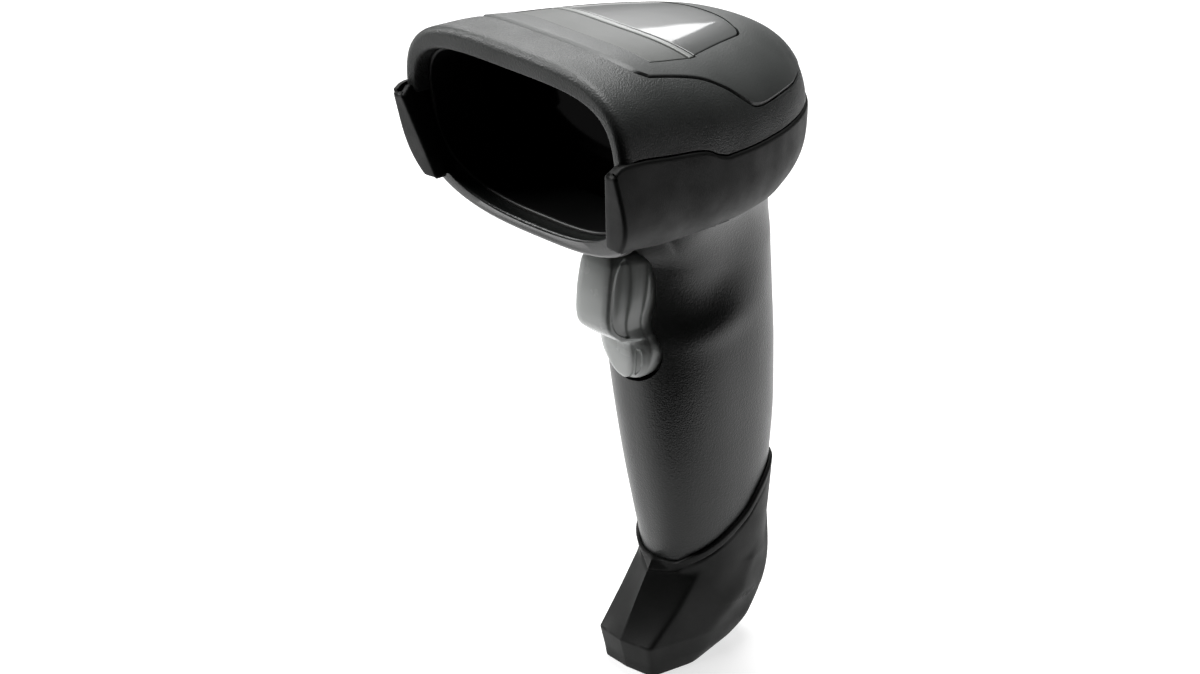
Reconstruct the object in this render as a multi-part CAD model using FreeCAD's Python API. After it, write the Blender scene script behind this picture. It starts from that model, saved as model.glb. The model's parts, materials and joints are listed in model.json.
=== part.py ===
import FreeCAD, Part
import math
import os
from FreeCAD import Vector

# A corded handheld barcode scanner: hooded head, pistol grip, trigger and rubber boot.
# Millimetres, +Z up, the scan window faces -Y. While it is drawn, y = 0 is the front of the
# bumper's ears and z = 0 the lowest point of the boot's toe; every part is moved back by
# half the depth as it is written, so that the origin lies under the middle of the object.

totalDepth = 88.5
headBackY = 87.0          # rear pole of the head
headWideY = 30.0          # where the head stops being full width
frontSquareness = 3.8     # superellipse exponents of the head's outline
backSquareness = 2.35
bellySquareness = 2.8
wall = 2.2                # moulded shell thickness
seam = 0.15               # gap left between neighbouring mouldings
moving = 0.35             # gap left round anything that moves

partingZ = 142.6          # hood above, bumper below
bumperBottomZ = 124.0     # bumper above, belly below
frontTiltDeg = 13.0       # lean of the scan opening, top forward
frontFootY = 9.6          # the opening's face where it crosses z = 118
earTiltDeg = 18.7         # lean of the ears' front faces

triggerPivot = Vector(0, 50.0, 84.0)
triggerTravelDeg = 5.0
triggerHalfWidth = 8.0
triggerTopZ = 108.4
tongueRadius = 8.0        # the round lower end of the trigger, about the pivot's height
pinRadius = 1.2
pinClearance = 0.05

windowY = 19.4            # front face of the exit window at mid height
boardY = 68.0             # front face of the main board in the grip
carrierY = 62.0
jackMouthZ = 14.0
jackY = 69.0
portHalfWidth = 5.9       # modular plug, across
portHalfDepth = 3.9       # and through

engineZ = 139.0           # optical axis of the scan engine
lampX = 10.2              # illumination lamps either side of it
engineScrewX = 17.6
engineScrewZ = 131.0
statusBoardZ = 155.2      # little board under the light bar
skinDepth = 1.2           # depth of the plates let into the saddle
saddleFootZ = 145.0       # lowest point of the saddle's sides
earInnerHalf = 27.5       # half the distance between the ears

# y, half width, top, bottom of the head
headStations = [
    (-6, 32.6, 162.9, 118.2),
    (10, 32.9, 162.9, 117.0),
    (28, 32.9, 161.2, 116.2),
    (42, 32.1, 160.0, 116.0),
    (54, 29.8, 158.8, 116.3),
    (64, 26.3, 157.4, 118.2),
    (73, 21.3, 154.6, 120.4),
    (80, 14.8, 150.2, 122.8),
    (84.0, 8.8, 144.8, 126.0),
    (86.2, 3.6, 138.4, 131.0),
]

# z, front y, back y, half width of the grip
gripStations = [
    (16, 60.0, 85.6, 10.8),
    (36, 53.6, 87.2, 12.3),
    (56, 47.8, 87.6, 13.6),
    (76, 43.4, 85.4, 15.0),
    (96, 40.6, 81.8, 16.4),
    (112, 37.0, 79.0, 18.2),
    (122, 30.0, 79.0, 22.0),
]

# z, front y, back y, half width of the boot's sleeve
bootStations = [
    (0, 49.0, 70.0, 7.4),
    (3, 47.8, 76.5, 9.2),
    (8, 46.4, 82.5, 10.9),
    (18, 52.0, 88.0, 12.8),
    (28, 55.0, 88.5, 13.3),
    (48, 49.0, 88.5, 14.2),
]

# y, half width at the corners of the saddle and of the plates let into it
saddleCorners = [(15.0, 25.4), (34.0, 27.8), (45.0, 30.2), (52.0, 28.8), (66.0, 22.6), (76.0, 12.0)]
namePlateCorners = [(21.5, 20.0), (34.2, 20.4)]
lightBarCorners = [(34.9, 20.4), (36.4, 20.0)]
lensPanelCorners = [(37.1, 19.6), (61.0, 13.2)]


def box(x0, x1, y0, y1, z0, z1):
    return Part.makeBox(x1 - x0, y1 - y0, z1 - z0, Vector(x0, y0, z0))


def rod(start, end, radius):
    return Part.makeCylinder(radius, (end - start).Length, start, end - start)


def closedCurve(points):
    curve = Part.BSplineCurve()
    curve.interpolate(points, PeriodicFlag=True)
    return Part.Wire(curve.toShape())


def polygonPrism(points, direction):
    return Part.Face(Part.makePolygon(points + [points[0]])).extrude(direction)


def power(value, exponent):
    return math.copysign(abs(value) ** exponent, value)


def headSection(y, halfWidth, top, bottom, inset):
    """Rounded outline of the head at one y: squarer above the middle than below it."""
    middle = 0.46 * top + 0.54 * bottom
    lean = min(max(y / 70, 0), 1)
    upper = 2 / (frontSquareness * (1 - lean) + backSquareness * lean)
    points = []
    for step in range(28):
        angle = 2 * math.pi * step / 28
        reach = (top - middle if math.sin(angle) > 0 else middle - bottom) - inset
        squareness = upper if math.sin(angle) > 0 else 2 / bellySquareness
        x = (halfWidth - inset) * power(math.cos(angle), squareness)
        z = middle + reach * power(math.sin(angle), squareness)
        points.append(Vector(x, y, z))
    return closedCurve(points)


def headForm(inset):
    sections = []
    for y, halfWidth, top, bottom in headStations:
        if halfWidth - inset < 2.5:
            continue
        pulled = y if y < headWideY else y - inset * (y - headWideY) / (headBackY - headWideY)
        sections.append(headSection(pulled, halfWidth, top, bottom, inset))
    return Part.makeLoft(sections, True)


def gripSection(z, front, back, halfWidth, inset):
    middle = (front + back) / 2
    half = (back - front) / 2 - inset
    points = []
    for step in range(20):
        angle = 2 * math.pi * step / 20
        x = (halfWidth - inset) * power(math.cos(angle), 2 / 2.3)
        y = middle + half * power(math.sin(angle), 2 / 2.3)
        points.append(Vector(x, y, z))
    return closedCurve(points)


def gripForm(inset, stations=gripStations):
    return Part.makeLoft([gripSection(*station, inset) for station in stations], True)


def frontY(z):
    return frontFootY - (z - 118) * math.tan(math.radians(frontTiltDeg))


def behindFront(offset):
    """Everything behind the opening's leaning face, moved back by offset."""
    low, high, far = 60, 190, 140
    points = [
        Vector(-60, frontY(low) + offset, low),
        Vector(-60, frontY(high) + offset, high),
        Vector(-60, far, high),
        Vector(-60, far, low),
    ]
    return polygonPrism(points, Vector(120, 0, 0))


def slab(z0, z1):
    return box(-60, 60, -30, 120, z0, z1)


def headShell(z0, z1, offset, thickness=wall):
    """A slice of the hollow head between two heights, open at the front."""
    solid = headForm(0).cut(headForm(thickness))
    return solid.common(behindFront(offset)).common(slab(z0, z1))


def planPrism(corners, grow):
    """Upright prism over the head, from its right-hand corners listed front to back."""
    right = []
    for index, (y, x) in enumerate(corners):
        right.append(Vector(x + grow, y + (grow if index else -grow), saddleFootZ))
    left = [Vector(-point.x, point.y, point.z) for point in reversed(right)]
    return polygonPrism(right + left, Vector(0, 0, 40))


def topSkin(corners, grow, thickness):
    return headForm(0).common(planPrism(corners, grow)).cut(headForm(thickness))


def inlay(corners):
    return topSkin(corners, 0, skinDepth)


def saddleCover():
    cover = topSkin(saddleCorners, 0, wall)
    for corners in (namePlateCorners, lensPanelCorners, lightBarCorners):
        cover = cover.cut(topSkin(corners, seam, skinDepth))
    return cover


def screwSites():
    return [Vector(side * x, y, 0) for x, y in ((27.6, 34.0), (22.0, 59.5)) for side in (-1, 1)]


def hoodShell():
    shell = headShell(partingZ + seam / 2, 170, 1.6)
    for site in screwSites():
        boss = rod(Vector(site.x, site.y, partingZ + 0.1), Vector(site.x, site.y, 147.2), 3.2)
        shell = shell.fuse(boss.common(headForm(wall - 0.4)))
    shell = shell.cut(topSkin(saddleCorners, seam, wall + 0.4))
    for site in screwSites():
        shell = shell.cut(rod(Vector(site.x, site.y, 130), Vector(site.x, site.y, 146.4), 1.2))
    return shell


def headBumper():
    """Band round the head; its two front ends stand proud of the rim as ears."""
    band = headForm(0).cut(headForm(wall)).common(slab(bumperBottomZ, partingZ - seam / 2))
    lean = math.tan(math.radians(earTiltDeg))
    face = [(partingZ, 0), (60, (partingZ - 60) * lean), (60, 140), (partingZ, 140)]
    behindEars = polygonPrism([Vector(-60, y, z) for z, y in face], Vector(120, 0, 0))
    return band.common(behindEars).cut(box(-earInnerHalf, earInnerHalf, -30, 20, 60, 170))


def gripCavity():
    lower = [(20, 61.0, 85.0, 9.2)] + [
        (z, front + wall, back - wall, halfWidth - wall) for z, front, back, halfWidth in gripStations[1:]
    ]
    lower.append((126, 34, 76, 19))
    return gripForm(0, lower)


def gripHousing():
    """Head's belly, chin lip and hollow grip in one moulding."""
    shell = headForm(0).cut(headForm(wall)).common(behindFront(0.4))
    belly = shell.common(slab(100, bumperBottomZ - seam))
    chin = shell.common(box(0.3 - earInnerHalf, earInnerHalf - 0.3, -5, 12, 110, 126))
    housing = belly.fuse(chin).fuse(gripForm(0).common(slab(0, 121)))
    housing = housing.cut(headForm(wall).common(slab(118.6, 170)))
    housing = housing.cut(gripCavity()).cut(triggerPocket())
    for side in (-1, 1):
        near = Vector(side * 8.6, triggerPivot.y, triggerPivot.z)
        boss = rod(near, near + Vector(side * 6, 0, 0), 3.0).common(gripForm(0.6))
        housing = housing.fuse(boss)
    housing = housing.cut(pivotRod(11.5, pinRadius + 0.02))
    jackHole = box(-7.4, 7.4, jackY - 6.6, jackY + 6.6, 10, 32.2)
    boardHole = box(-8.0, 8.0, jackY + 6.3, jackY + 7.9, 20.8, 35.2)
    return housing.cut(jackHole).cut(boardHole)


def triggerOutline(grow):
    """Seen from the front: straight sides above, a half round tongue below."""
    side = triggerHalfWidth + grow
    upper = box(-side, side, 0, 80, triggerPivot.z, triggerTopZ + grow)
    tongue = rod(Vector(0, 0, triggerPivot.z), Vector(0, 80, triggerPivot.z), tongueRadius + grow)
    return upper.fuse(tongue)


def triggerBlock(grow):
    """Seen from the side: upright finger pad, a lip, then the tongue that carries the pivot."""
    outline = [
        (31.4 - grow, triggerTopZ + grow),
        (30.0 - grow, 100.0),
        (31.0 - grow, 91.5),
        (34.0 - grow, 88.0),
        (38.6 - grow, 86.0),
        (41.0 - grow, 75.0),
        (53.4 + grow, 75.0),
        (53.4 + grow, 87.4 + grow),
        (50.2 + grow, 87.6 + grow),
        (47.5 + grow, triggerTopZ + grow),
    ]
    edge = triggerHalfWidth + grow + 2
    block = polygonPrism([Vector(-edge, y, z) for y, z in outline], Vector(2 * edge, 0, 0))
    return block.common(triggerOutline(grow))


def triggerPocket():
    """Room in the grip for the trigger through its whole travel."""
    swept = triggerBlock(moving)
    for share in (0.35, 0.7, 1.0):
        turned = triggerBlock(moving)
        turned.rotate(triggerPivot, Vector(1, 0, 0), -triggerTravelDeg * share)
        swept = swept.fuse(turned)
    return swept


def pivotRod(halfLength, radius):
    start = Vector(-halfLength, triggerPivot.y, triggerPivot.z)
    return rod(start, start + Vector(2 * halfLength, 0, 0), radius)


def trigger():
    body = triggerBlock(0)
    hollow = box(-6.4, 6.4, 34.5, 60, 88.6, 106.6)
    springSlot = box(-3.2, 3.2, 43.0, 60, 70, 90)
    body = body.cut(hollow).cut(springSlot)
    rib = box(-1.6, 1.6, 34, 48.4, 95.5, 98.5)
    return body.fuse(rib).cut(pivotRod(20, pinRadius + pinClearance)).removeSplitter()


def triggerPin():
    return pivotRod(11.4, pinRadius)


def triggerSpring():
    """Torsion spring: a close coil round the pin, one arm up the pad, one back to the carrier."""
    wire = 0.35
    coilRadius = 2.2
    coil = None
    for turn in range(5):
        centre = Vector(-1.6 + turn * 0.8, triggerPivot.y, triggerPivot.z)
        ring = Part.makeTorus(coilRadius, wire, centre, Vector(1, 0, 0))
        coil = ring if coil is None else coil.fuse(ring)
    armZ = triggerPivot.z + coilRadius
    bridge = box(-1.6, 1.6, triggerPivot.y - 0.2, triggerPivot.y + 0.2, armZ - 0.25, armZ + 0.25)
    forward = rod(Vector(-1.5, triggerPivot.y, armZ), Vector(-1.5, 43.5, armZ), wire)
    rear = rod(Vector(1.5, triggerPivot.y, armZ), Vector(1.5, 59.0, armZ), wire)
    return coil.fuse(bridge).fuse(forward).fuse(rear)


def switchBody():
    bore = rod(Vector(0, 50, 97.0), Vector(0, 53.4, 97.0), 1.0 + pinClearance)
    return box(-3.2, 3.2, 50.9, 57.4, 93.2, 101.2).cut(bore)


def switchPlunger():
    return rod(Vector(0, 48.6, 97.0), Vector(0, 50.7, 97.0), 1.0)


def switchBoard():
    return box(-7.5, 7.5, 57.5, 58.7, 88, 107)


def boardCarrier():
    """Spine plate in the grip; the main board stands on its posts, the switch board in front."""
    plate = box(-8.1, 8.1, carrierY, carrierY + 1.8, 37, 112)
    for z in (40, 74, 108):
        for side in (-1, 1):
            base = Vector(side * 6.2, carrierY + 1.7, z)
            plate = plate.fuse(rod(base, Vector(base.x, boardY - 0.05, z), 1.7))
    for z in (90, 105):
        plate = plate.fuse(box(-5, 5, 58.8, carrierY + 0.1, z - 1, z + 1))
    return plate


def boardScrewSites():
    return [(side * 6.2, z) for side in (-1, 1) for z in (40, 108)]


def mainBoard():
    board = box(-8.6, 8.6, boardY, boardY + 1.2, 36, 112)
    for x, z in boardScrewSites():
        board = board.cut(rod(Vector(x, boardY - 1, z), Vector(x, boardY + 3, z), 1.1))
    return board


def boardChips():
    faceY = boardY + 1.25
    chips = []
    for x, z, halfWidth, halfHeight, thickness in (
        (0, 96, 5.5, 5.5, 1.2), (-3.4, 82, 3.2, 4.2, 1.0), (4.4, 82, 2.6, 3.0, 0.9), (0, 50, 4.0, 3.0, 1.4),
    ):
        chips.append(box(x - halfWidth, x + halfWidth, faceY, faceY + thickness, z - halfHeight, z + halfHeight))
    return Part.makeCompound(chips)


def boardShield():
    return box(-7.4, 7.4, boardY + 1.25, boardY + 3.6, 58, 74)


def boardScrews():
    heads = []
    for x, z in boardScrewSites():
        head = rod(Vector(x, boardY + 1.25, z), Vector(x, boardY + 2.5, z), 1.9)
        heads.append(head.fuse(rod(Vector(x, boardY + 0.1, z), Vector(x, boardY + 1.3, z), 1.0)))
    return Part.makeCompound(heads)


def beeper():
    return rod(Vector(11, 64.6, 124.6), Vector(11, 64.6, 129.4), 4.6)


def flexCable():
    """Flat cable from the top of the main board forward and up to the sensor board."""
    outline = [(69.4, 106), (71.2, 112), (66.0, 124.5), (56.0, 131), (48.4, 131), (48.4, 131.3)]
    outline += [(56.1, 131.3), (66.25, 124.75), (71.5, 112), (69.7, 106)]
    return polygonPrism([Vector(-4, y, z) for y, z in outline], Vector(8, 0, 0))


def windowBezel():
    """Funnel behind the rim, narrowing from the mouth down to the window."""
    outer = headForm(wall + seam).common(behindFront(2.4)).cut(behindFront(windowY - 2.0))
    inner = headForm(wall + 1.4).common(behindFront(0)).cut(behindFront(windowY - 6.0))
    throat = box(-26.0, 26.0, -20, 60, 124.6, 155.8)
    return outer.cut(inner).cut(throat)


def windowGasket():
    ring = box(-25.6, 25.6, -20, 60, 125.0, 155.4).cut(box(-24.2, 24.2, -20, 60, 126.4, 154.0))
    return ring.common(behindFront(windowY - 1.9)).cut(behindFront(windowY - 1.0))


def exitWindow():
    pane = box(-25.8, 25.8, -20, 60, 124.8, 155.6)
    return pane.common(behindFront(windowY - 0.9)).cut(behindFront(windowY + 0.9))


def engineChassis():
    """Frame that holds lens, lamps and sensor board, bored for the lens barrel and lamp seats."""
    chassis = box(-14.0, 14.0, 29.0, 45.0, 128.0, 147.0)
    chassis = chassis.cut(rod(Vector(0, 20, engineZ), Vector(0, 60, engineZ), 5.2))
    for x in (-lampX, lampX):
        chassis = chassis.cut(rod(Vector(x, 20, engineZ), Vector(x, 33, engineZ), 2.8))
    chassis = chassis.cut(rod(Vector(lampX, 20, 131.2), Vector(lampX, 60, 131.2), 1.8))
    for x in (-engineScrewX, engineScrewX):
        near, far = sorted((x - math.copysign(4, x), x + math.copysign(2.8, x)))
        ear = box(near, far, 41.5, 44.0, 128, 134)
        ear = ear.cut(rod(Vector(x, 30, engineScrewZ), Vector(x, 60, engineScrewZ), 1.1))
        chassis = chassis.fuse(ear)
    return chassis


def engineScrews():
    screws = []
    for side in (-1, 1):
        start = Vector(side * engineScrewX, 40.1, engineScrewZ)
        head = rod(start, start + Vector(0, 1.3, 0), 1.9)
        screws.append(head.fuse(rod(start, start + Vector(0, 7.5, 0), 1.0)))
    return Part.makeCompound(screws)


def lensBarrel():
    outer = rod(Vector(0, 27.5, engineZ), Vector(0, 43.5, engineZ), 5.1)
    return outer.cut(rod(Vector(0, 20, engineZ), Vector(0, 60, engineZ), 3.9))


def lensGlass():
    front = Part.makeSphere(8, Vector(0, 37.2, engineZ))
    return front.common(rod(Vector(0, 28.6, engineZ), Vector(0, 32.0, engineZ), 3.85))


def sensorBoard():
    return box(-14.0, 14.0, 45.1, 46.3, 126.5, 148.5)


def sensorChip():
    return box(-3.0, 3.0, 43.6, 45.05, 136.6, 141.4)


def dome(x, z, radius, y0, y1):
    body = rod(Vector(x, y0 + radius * 0.7, z), Vector(x, y1, z), radius)
    nose = Part.makeSphere(radius, Vector(x, y0 + radius, z))
    return body.fuse(nose.common(box(x - 9, x + 9, y0 - 9, y0 + radius, z - 9, z + 9)))


def illuminationLamps():
    return Part.makeCompound([dome(x, engineZ, 2.6, 28.2, 32.9) for x in (-lampX, lampX)])


def aimerLamp():
    return dome(lampX, 131.2, 1.7, 28.4, 44.9)


def engineCradle():
    """Shelf moulded to carry the engine above the belly."""
    shelf = box(-21.5, 21.5, 31.5, 58.0, 122.4, 124.2)
    for x in (-engineScrewX, engineScrewX):
        post = box(x - 3.0, x + 3.0, 44.2, 49.5, 124.1, 135)
        bore = rod(Vector(x, 30, engineScrewZ), Vector(x, 60, engineScrewZ), 1.05)
        shelf = shelf.fuse(post.cut(bore))
    shelf = shelf.fuse(box(-13, 13, 32, 44, 124.1, 127.9))
    return shelf.common(headForm(wall + 0.3))


def headScrews():
    screws = []
    for site in screwSites():
        foot = Vector(site.x, site.y, partingZ - 1.4)
        head = rod(foot, foot + Vector(0, 0, 1.4), 2.2)
        screws.append(head.fuse(rod(foot, foot + Vector(0, 0, 4.9), 1.15)))
    return Part.makeCompound(screws)


def statusLampBoard():
    return box(-12.0, 12.0, 33.2, 39.6, statusBoardZ, statusBoardZ + 1.0)


def statusLamps():
    low = statusBoardZ + 1.1
    return Part.makeCompound([box(x - 1.4, x + 1.4, 35.2, 37.6, low, low + 1.2) for x in (-8, 0, 8)])


def jackShell():
    """Modular cable jack; its mouth opens downward at the end of the grip."""
    shell = box(-7.2, 7.2, jackY - 6.4, jackY + 6.4, jackMouthZ, 32)
    mouth = box(-portHalfWidth, portHalfWidth, jackY - portHalfDepth, jackY + portHalfDepth, 5, 28)
    latch = box(-2.2, 2.2, jackY - 5.5, jackY, 5, 24)
    return shell.cut(mouth).cut(latch)


def jackContacts():
    wires = []
    for index in range(10):
        x = -4.59 + index * 1.02
        wires.append(box(x - 0.2, x + 0.2, jackY + 3.1, jackY + 3.8, 16, 27.9))
    return Part.makeCompound(wires)


def jackBoard():
    return box(-7.8, 7.8, jackY + 6.5, jackY + 7.7, 21, 35)


def rubberBoot():
    """Sleeve round the grip's end with a pointed toe; its top edge climbs towards the back."""
    sleeve = Part.makeLoft([gripSection(*station, 0) for station in bootStations], True, True)
    topEdge = [(20, 4.0), (120, 66.0), (120, 120), (20, 120)]
    above = polygonPrism([Vector(-60, y, z) for y, z in topEdge], Vector(120, 0, 0))
    seat = gripForm(-seam).common(slab(15.6, 130))
    port = box(-7.4, 7.4, jackY - 6.6, jackY + 6.6, 9, 20)
    mouthHalf = portHalfWidth + 0.6
    mouth = box(-mouthHalf, mouthHalf, jackY - 5.8, jackY + portHalfDepth + 0.6, -5, 20)
    return sleeve.cut(above).cut(seat).cut(port).cut(mouth)


parts = {
    "hood_shell": hoodShell,
    "saddle_cover": saddleCover,
    "name_plate": lambda: inlay(namePlateCorners),
    "lens_panel": lambda: inlay(lensPanelCorners),
    "light_bar": lambda: inlay(lightBarCorners),
    "head_bumper": headBumper,
    "grip_housing": gripHousing,
    "window_bezel": windowBezel,
    "window_gasket": windowGasket,
    "exit_window": exitWindow,
    "trigger": trigger,
    "trigger_pin": triggerPin,
    "trigger_spring": triggerSpring,
    "switch_body": switchBody,
    "switch_plunger": switchPlunger,
    "switch_board": switchBoard,
    "board_carrier": boardCarrier,
    "main_board": mainBoard,
    "board_chips": boardChips,
    "board_shield": boardShield,
    "board_screws": boardScrews,
    "beeper": beeper,
    "flex_cable": flexCable,
    "engine_cradle": engineCradle,
    "engine_chassis": engineChassis,
    "engine_screws": engineScrews,
    "lens_barrel": lensBarrel,
    "lens_glass": lensGlass,
    "sensor_board": sensorBoard,
    "sensor_chip": sensorChip,
    "illumination_lamps": illuminationLamps,
    "aimer_lamp": aimerLamp,
    "status_lamp_board": statusLampBoard,
    "status_lamps": statusLamps,
    "head_screws": headScrews,
    "jack_shell": jackShell,
    "jack_contacts": jackContacts,
    "jack_board": jackBoard,
    "rubber_boot": rubberBoot,
}

os.makedirs("parts", exist_ok=True)
for node, build in parts.items():
    shape = build()
    shape.translate(Vector(0, -totalDepth / 2, 0))
    shape.exportStep("parts/" + node + ".step")
    bounds = shape.optimalBoundingBox()
    spans = (bounds.XMin, bounds.XMax, bounds.YMin, bounds.YMax, bounds.ZMin, bounds.ZMax)
    print(node, len(shape.Solids), shape.isValid(), round(shape.Volume), [round(v, 1) for v in spans])
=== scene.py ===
import json
import math

import bmesh
import bpy
import numpy as np
from mathutils import Matrix, Vector


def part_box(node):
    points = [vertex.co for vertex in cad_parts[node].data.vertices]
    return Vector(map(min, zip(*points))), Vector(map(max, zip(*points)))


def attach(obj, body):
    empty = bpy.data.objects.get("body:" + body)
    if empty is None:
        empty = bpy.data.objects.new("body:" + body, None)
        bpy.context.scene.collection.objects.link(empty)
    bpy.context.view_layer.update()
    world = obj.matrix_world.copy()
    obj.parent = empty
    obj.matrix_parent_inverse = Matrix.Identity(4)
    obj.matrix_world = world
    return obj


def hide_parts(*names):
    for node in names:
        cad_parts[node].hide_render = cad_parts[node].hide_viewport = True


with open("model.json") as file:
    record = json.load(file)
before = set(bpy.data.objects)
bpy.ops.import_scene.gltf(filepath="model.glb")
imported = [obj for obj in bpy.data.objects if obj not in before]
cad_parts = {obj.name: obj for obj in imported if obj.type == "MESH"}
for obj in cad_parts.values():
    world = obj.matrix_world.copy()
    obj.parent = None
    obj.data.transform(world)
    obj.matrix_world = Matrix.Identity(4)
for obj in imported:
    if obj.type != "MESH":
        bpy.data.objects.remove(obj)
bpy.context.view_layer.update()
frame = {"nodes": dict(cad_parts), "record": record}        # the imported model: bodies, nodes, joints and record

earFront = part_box("head_bumper")[0][1]      # the front of the bumper's ears, in metres
print("frame loaded")

# Every outline below is in millimetres: x across, y back from the ears' front, z up from the toe.
mirrorX = np.array([-1, 1, 1])
backward = np.array([0, 1, 0])


def unit(v):
    return v / np.linalg.norm(v, axis=-1, keepdims=True)


def hermite(t):
    # at t along a span: the shares of its start, of the slope there, of its end and of the slope there
    return 2 * t**3 - 3 * t**2 + 1, t**3 - 2 * t**2 + t, -2 * t**3 + 3 * t**2, t**3 - t**2


def through(knots, values):
    # a curve through the stations that never swings past them
    knots, values = np.asarray(knots, float), np.asarray(values, float)
    step = np.diff(knots)
    slope = np.diff(values) / step
    tangent = np.zeros(len(knots))
    tangent[0], tangent[-1] = slope[0], slope[-1]
    same = slope[:-1] * slope[1:] > 0
    joined = 2 * slope[:-1] * slope[1:] / np.where(same, slope[:-1] + slope[1:], 1)
    tangent[1:-1] = np.where(same, joined, 0)

    def curve(x):
        x = np.clip(x, knots[0], knots[-1])
        i = np.clip(np.searchsorted(knots, x) - 1, 0, len(step) - 1)
        a, b, c, d = hermite((x - knots[i]) / step[i])
        return a * values[i] + b * step[i] * tangent[i] + c * values[i + 1] + d * step[i] * tangent[i + 1]

    return curve


def alongPath(points, count, crowd=None):
    # points evenly spaced along a smooth path through a few given ones
    points = np.asarray(points, float)
    reach = np.concatenate([[0], np.cumsum(np.linalg.norm(np.diff(points, axis=0), axis=1))])
    share = np.linspace(0, reach[-1], count) if crowd is None else np.asarray(crowd) * reach[-1]
    return np.stack([through(reach, points[:, k])(share) for k in range(3)], axis=1)


# the head's surface

headShape = {
    "y": [-6, 10, 28, 42, 54, 64, 73, 80, 84.0, 86.2, 86.7],
    "halfWidth": [32.6, 33.0, 33.0, 32.1, 29.8, 26.3, 21.3, 14.8, 8.8, 3.6, 1.5],
    "top": [162.9, 162.9, 161.2, 160.0, 158.8, 157.4, 154.6, 150.2, 144.8, 138.4, 136.2],
    "bottom": [118.2, 117.0, 116.2, 116.0, 116.3, 118.2, 120.4, 122.8, 126.0, 131.0, 133.6],
    "frontSquareness": 3.8,
    "backSquareness": 2.35,
    "bellySquareness": 2.8,
    "leanOver": 70,           # the squareness changes from front to back over this length
    "middleShare": 0.46,      # height of the widest level between bottom and top
    "tipSlope": 8,            # closes the head behind its last station
    "axisEndY": 50.0,         # the line inside the head that rays start from
    "axisZ": 138.0,
    "planY": 45.0,            # the point in plan that angles are counted round
}
halfWidthAt = through(headShape["y"], headShape["halfWidth"])
topAt = through(headShape["y"], headShape["top"])
bottomAt = through(headShape["y"], headShape["bottom"])


def headSection(y):
    # widest level, reach above and below it, and squareness of the upper half
    top, bottom = topAt(y), bottomAt(y)
    middle = headShape["middleShare"] * top + (1 - headShape["middleShare"]) * bottom
    lean = np.clip(y / headShape["leanOver"], 0, 1)
    upper = headShape["frontSquareness"] * (1 - lean) + headShape["backSquareness"] * lean
    return middle, top - middle, middle - bottom, upper


def headField(p):
    # under 0 inside the head, 0 on its skin
    x, y, z = p[..., 0], p[..., 1], p[..., 2]
    middle, up, down, upper = headSection(y)
    above = z > middle
    reach = np.where(above, up, down)
    n = np.where(above, upper, headShape["bellySquareness"])
    ring = ((np.abs(x) / halfWidthAt(y)) ** n + (np.abs(z - middle) / reach) ** n) ** (1 / n) - 1
    return ring + np.maximum(0, y - headShape["y"][-1] + 0.1) * headShape["tipSlope"]


def bisect(start, toward, far=2.2):
    # where rays from inside the head leave it
    low, high = np.zeros(toward.shape[:-1]), np.full(toward.shape[:-1], far)
    for _ in range(32):
        middle = (low + high) / 2
        outside = headField(start + toward * middle[..., None]) > 0
        high = np.where(outside, middle, high)
        low = np.where(outside, low, middle)
    return start + toward * high[..., None]


def landOnHead(p):
    start = np.stack([np.zeros(p.shape[:-1]), np.minimum(p[..., 1], headShape["axisEndY"]),
                      np.full(p.shape[:-1], headShape["axisZ"])], axis=-1)
    return bisect(start, p - start)


def landLevel(angle, z):
    # the skin at height z, seen from the head's axis at a plan angle (0 forward, a quarter turn to +x)
    start = np.stack([np.zeros_like(z), np.full_like(z, headShape["planY"]), z], axis=-1)
    toward = np.stack([np.sin(angle), -np.cos(angle), np.zeros_like(z)], axis=-1) * 60
    return bisect(start, toward)


def headNormal(p):
    step = 0.05
    grad = np.stack([headField(p + step * axis) - headField(p - step * axis) for axis in np.eye(3)], axis=-1)
    return unit(grad)


# mesh building

plainSharpDeg = 42

def roundedDrop(distance, radius):
    near = np.clip(radius - distance, 0, radius)
    return radius - np.sqrt(np.maximum(radius**2 - near**2, 0))


def gapsAlong(grid, axis):
    steps = np.linalg.norm(np.diff(grid, axis=axis), axis=-1)
    zero = np.zeros_like(np.take(steps, [0], axis=axis))
    forward = np.concatenate([zero, np.cumsum(steps, axis=axis)], axis=axis)
    total = np.take(forward, [-1], axis=axis)
    return np.minimum(forward, total - forward)


def edgeStops(length, across, fine):
    # shares of a span, crowded at both ends so that a rounded edge has its own rows
    ends = np.array([0, 0.07, 0.2, 0.4, 0.7, 1.0]) * fine / length
    return np.concatenate([ends[:-1], np.linspace(ends[-1], 1 - ends[-1], across), 1 - ends[:-1][::-1]])


def makePiece(name, vertices, faces, material, body, stands=(), sharpDeg=plainSharpDeg):
    mesh = bpy.data.meshes.new(name)
    placed = np.asarray(vertices, float) / 1000
    placed[:, 1] += earFront
    mesh.from_pydata(placed.tolist(), [], faces)
    work = bmesh.new()
    work.from_mesh(mesh)
    bmesh.ops.remove_doubles(work, verts=work.verts, dist=4e-6)
    bmesh.ops.dissolve_degenerate(work, edges=work.edges, dist=2e-6)
    bmesh.ops.recalc_face_normals(work, faces=work.faces)
    work.to_mesh(mesh)
    work.free()
    mesh.shade_smooth()
    mesh.set_sharp_from_angle(angle=math.radians(sharpDeg))
    piece = bpy.data.objects.new(name, mesh)
    bpy.context.scene.collection.objects.link(piece)
    if material:
        mesh.materials.append(material)
    if body:
        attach(piece, body)
    if stands:
        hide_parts(*stands)
    return piece


def gridFaces(rows, columns, wrapRows, wrapColumns, offset=0, flip=False):
    faces = []
    for r in range(rows if wrapRows else rows - 1):
        for c in range(columns if wrapColumns else columns - 1):
            here, above = offset + r * columns, offset + (r + 1) % rows * columns
            a, b, d, e = here + c, here + (c + 1) % columns, above + c, above + (c + 1) % columns
            faces.append((a, d, e, b) if flip else (a, b, e, d))
    return faces


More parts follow.
